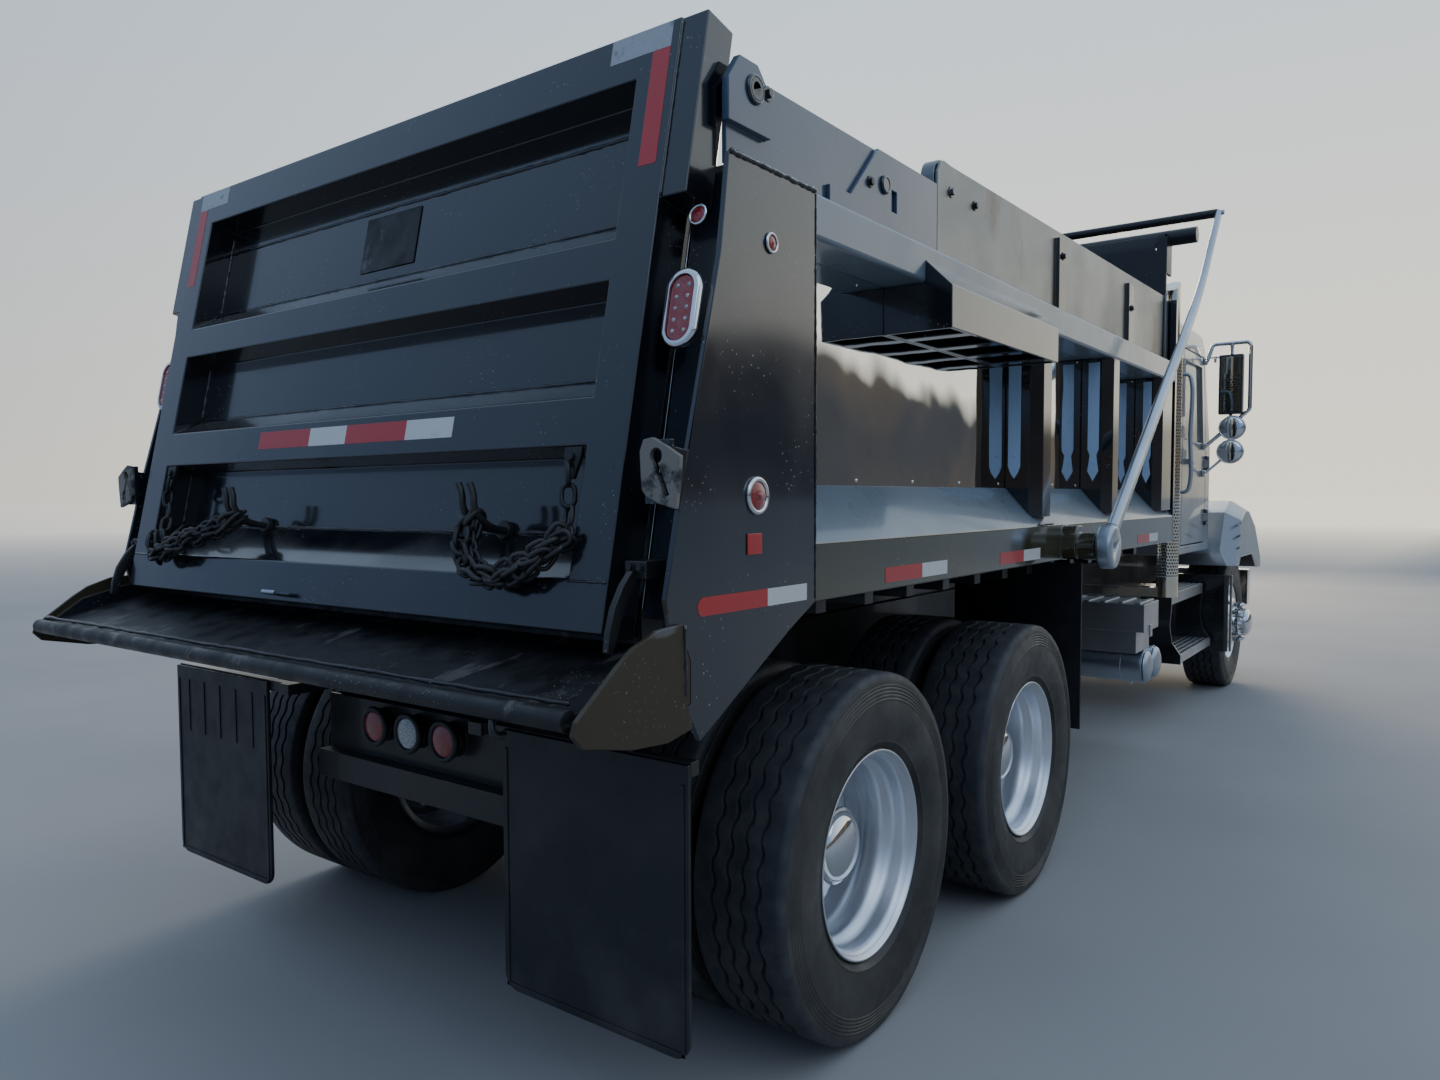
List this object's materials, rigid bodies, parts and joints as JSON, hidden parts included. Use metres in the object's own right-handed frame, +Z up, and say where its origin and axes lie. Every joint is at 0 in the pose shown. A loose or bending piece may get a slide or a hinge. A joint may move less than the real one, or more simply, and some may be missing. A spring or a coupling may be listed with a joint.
{
  "type": "tandem-axle dump truck",
  "caption": "Conventional dump truck with a leaning tailgate, polished side panels, tarp bow and tipping bed on a front hoist.",
  "frame": {"origin": "on the ground at the middle of the truck's length and width", "axes": "+X forward, +Y to the truck's left, +Z up"},
  "size_m": [8.988, 2.84, 3.1848],
  "materials": {
    "black_gloss": "gloss black paint, scuffed",
    "black_paint": "satin black paint, dusty",
    "worn_black": "black paint worn and spattered",
    "axle_black": "dusty black castings",
    "engine_grey": "cast iron, painted",
    "radiator": "dark finned core",
    "aluminium": "brushed aluminium",
    "tread_aluminium": "ribbed aluminium tread",
    "chrome": "polished chrome",
    "flap_rubber": "black sheet rubber",
    "cab_silver": "silver-grey metallic paint",
    "glass": "clear tinted glass",
    "interior": "dark grey plastic and cloth",
    "lamp_clear": "clear lens",
    "lamp_red": "red lens",
    "mirror_black": "black head, bright tube",
    "bed_steel": "scraped steel floor",
    "polished_steel": "polished stainless sheet",
    "board_metal": "dull brushed sheet",
    "chain_steel": "black chain",
    "tarp_aluminium": "satin aluminium tube",
    "hoist_steel": "ground steel sleeves",
    "tyre_rubber": "black tyre rubber",
    "rim_aluminium": "polished aluminium"
  },
  "bodies": {
    "chassis": {"frame_rails": "black_paint", "front_axle": "black_paint", "drive_axles": "axle_black", "suspension": "axle_black", "engine_block": "engine_grey", "radiator": "radiator", "fuel_and_air_tanks": "aluminium", "battery_box": "tread_aluminium", "exhaust_stack": "chrome", "cab_steps": "tread_aluminium", "front_bumper": "chrome", "mud_flaps": "flap_rubber", "rear_lamp_bar": "black_paint", "cab_shell": "cab_silver", "cab_glass": "glass", "cab_interior": "interior"},
    "hood": {"hood_shell": "cab_silver", "grille": "chrome", "headlamps": "lamp_clear"},
    "door_left": {"door_left": "cab_silver", "door_glass_left": "glass", "mirrors_left": "mirror_black"},
    "door_right": {"door_right": "cab_silver", "door_glass_right": "glass", "mirrors_right": "mirror_black"},
    "knuckle_left": {"knuckle_left": "axle_black"},
    "knuckle_right": {"knuckle_right": "axle_black"},
    "wheel_front_left": {"tyre_front_left": "tyre_rubber", "rim_front_left": "rim_aluminium"},
    "wheel_front_right": {"tyre_front_right": "tyre_rubber", "rim_front_right": "rim_aluminium"},
    "wheels_middle_left": {"tyres_middle_left": "tyre_rubber", "rims_middle_left": "rim_aluminium"},
    "wheels_middle_right": {"tyres_middle_right": "tyre_rubber", "rims_middle_right": "rim_aluminium"},
    "wheels_rear_left": {"tyres_rear_left": "tyre_rubber", "rims_rear_left": "rim_aluminium"},
    "wheels_rear_right": {"tyres_rear_right": "tyre_rubber", "rims_rear_right": "rim_aluminium"},
    "bed": {"bed_floor": "bed_steel", "side_sheets": "polished_steel", "lower_rails": "black_gloss", "top_rails": "black_gloss", "side_posts": "black_gloss", "front_wall": "black_gloss", "bed_sills": "black_paint", "sideboards": "board_metal", "corner_posts": "black_gloss", "rear_apron": "worn_black", "side_box": "black_gloss", "tarp_housing": "black_paint", "bed_lamps": "lamp_red"},
    "tailgate": {"tailgate": "black_gloss", "tailgate_chains": "chain_steel"},
    "tarp_bow": {"tarp_bow": "tarp_aluminium"},
    "hoist_barrel": {"hoist_barrel": "black_paint"},
    "hoist_stage_1": {"hoist_stage_1": "hoist_steel"},
    "hoist_stage_2": {"hoist_stage_2": "hoist_steel"},
    "hoist_rod": {"hoist_rod": "hoist_steel"}
  },
  "joints": [
    {"name": "bed_tip", "type": "hinge", "parent": "chassis", "child": "bed", "pos_m": [-3.816, 0, 1.13], "axis": [0, -1, 0], "range_deg": [0, 48]},
    {"name": "tailgate_swing", "type": "hinge", "parent": "bed", "child": "tailgate", "pos_m": [-3.816, 0, 2.48], "axis": [0, 1, 0], "range_deg": [0, 65]},
    {"name": "tarp_swing", "type": "hinge", "parent": "bed", "child": "tarp_bow", "pos_m": [-1.526, 0, 1.337], "axis": [0, -1, 0], "range_deg": [0, 110]},
    {"name": "hoist_tilt", "type": "hinge", "parent": "chassis", "child": "hoist_barrel", "pos_m": [1.044, 0, 1], "axis": [0, -1, 0], "range_deg": [0, 27.93]},
    {"name": "hoist_slide_1", "type": "slide", "parent": "hoist_barrel", "child": "hoist_stage_1", "axis": [0, 0, 1], "range_m": [0, 1.2795]},
    {"name": "hoist_slide_2", "type": "slide", "parent": "hoist_stage_1", "child": "hoist_stage_2", "axis": [0, 0, 1], "range_m": [0, 1.2795]},
    {"name": "hoist_slide_3", "type": "slide", "parent": "hoist_stage_2", "child": "hoist_rod", "axis": [0, 0, 1], "range_m": [0, 1.2795]},
    {"name": "hood_tilt", "type": "hinge", "parent": "chassis", "child": "hood", "pos_m": [4.304, 0, 0.845], "axis": [0, 1, 0], "range_deg": [0, 70]},
    {"name": "door_left_swing", "type": "hinge", "parent": "chassis", "child": "door_left", "pos_m": [2.672, 1.016, 1.58], "axis": [0, 0, -1], "range_deg": [0, 68]},
    {"name": "door_right_swing", "type": "hinge", "parent": "chassis", "child": "door_right", "pos_m": [2.672, -1.016, 1.58], "axis": [0, 0, 1], "range_deg": [0, 68]},
    {"name": "steer_left", "type": "hinge", "parent": "chassis", "child": "knuckle_left", "pos_m": [3.3845, 0.765, 0.522], "axis": [0, 0, 1], "range_deg": [-36, 36]},
    {"name": "steer_right", "type": "hinge", "parent": "chassis", "child": "knuckle_right", "pos_m": [3.3845, -0.765, 0.522], "axis": [0, 0, 1], "range_deg": [-36, 36]},
    {"name": "spin_front_left", "type": "hinge", "parent": "knuckle_left", "child": "wheel_front_left", "pos_m": [3.3845, 0, 0.522], "axis": [0, 1, 0], "continuous": true},
    {"name": "spin_front_right", "type": "hinge", "parent": "knuckle_right", "child": "wheel_front_right", "pos_m": [3.3845, 0, 0.522], "axis": [0, 1, 0], "continuous": true},
    {"name": "spin_middle_left", "type": "hinge", "parent": "chassis", "child": "wheels_middle_left", "pos_m": [-1.895, 0, 0.522], "axis": [0, 1, 0], "continuous": true},
    {"name": "spin_middle_right", "type": "hinge", "parent": "chassis", "child": "wheels_middle_right", "pos_m": [-1.895, 0, 0.522], "axis": [0, 1, 0], "continuous": true},
    {"name": "spin_rear_left", "type": "hinge", "parent": "chassis", "child": "wheels_rear_left", "pos_m": [-3.216, 0, 0.522], "axis": [0, 1, 0], "continuous": true},
    {"name": "spin_rear_right", "type": "hinge", "parent": "chassis", "child": "wheels_rear_right", "pos_m": [-3.216, 0, 0.522], "axis": [0, 1, 0], "continuous": true}
  ],
  "couplings": [
    {"joint": "hoist_tilt", "follows": "bed_tip", "ratio": 0.58194},
    {"joint": "hoist_slide_1", "follows": "bed_tip", "m_per_rad": 1.5272},
    {"joint": "hoist_slide_2", "follows": "bed_tip", "m_per_rad": 1.5272},
    {"joint": "hoist_slide_3", "follows": "bed_tip", "m_per_rad": 1.5272},
    {"joint": "steer_right", "follows": "steer_left", "ratio": 1}
  ]
}
